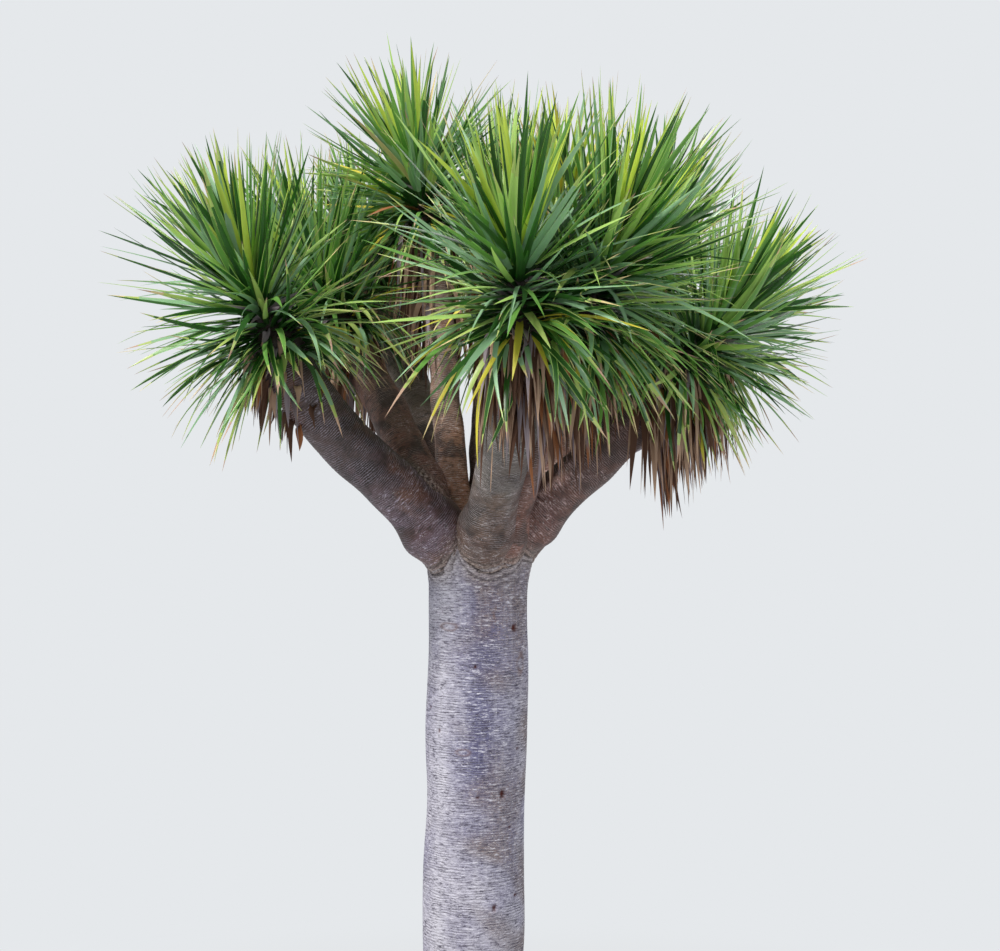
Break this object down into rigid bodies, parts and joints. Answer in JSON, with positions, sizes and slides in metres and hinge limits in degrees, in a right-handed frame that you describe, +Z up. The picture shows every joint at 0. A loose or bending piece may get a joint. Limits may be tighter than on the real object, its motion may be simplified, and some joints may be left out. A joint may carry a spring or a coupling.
{
  "type": "dragon blood tree",
  "caption": "Single-trunked dragon tree with a fan of thick smooth boughs, each ending in a round head of stiff sword-shaped leaves; rooted in level ground by its flat foot.",
  "frame": {"origin": "centre of the flat cut where the trunk meets the level ground", "axes": "+Z up the trunk; +X to the right and -Y towards the viewer, as the picture sees the tree"},
  "size_m": [2.1843, 2.2977, 3.8759],
  "materials": {
    "trunk_bark": "matt",
    "bough_bark": "matt",
    "leaf_green": "satin",
    "leaf_deep": "satin",
    "leaf_yellow": "satin",
    "leaf_dry": "matt"
  },
  "bodies": {
    "root": {"trunk": "trunk_bark", "bough_front": "bough_bark", "bough_left": "bough_bark", "bough_right_outer": "bough_bark", "bough_front_right": "bough_bark", "bough_upright": "bough_bark", "bough_right": "bough_bark", "bough_back_left": "bough_bark", "bough_back": "bough_bark", "bough_back_right": "bough_bark", "bough_middle": "bough_bark", "bough_left_upper": "bough_bark", "bough_right_back": "bough_bark", "leaves_front": "leaf_green", "leaves_left": "leaf_green", "leaves_right_outer": "leaf_green", "leaves_front_right": "leaf_green", "leaves_upright": "leaf_green", "leaves_right": "leaf_green", "leaves_back_left": "leaf_green", "leaves_back": "leaf_green", "leaves_back_right": "leaf_green", "leaves_middle": "leaf_green", "leaves_left_upper": "leaf_green", "leaves_right_back": "leaf_green"}
  },
  "joints": []
}
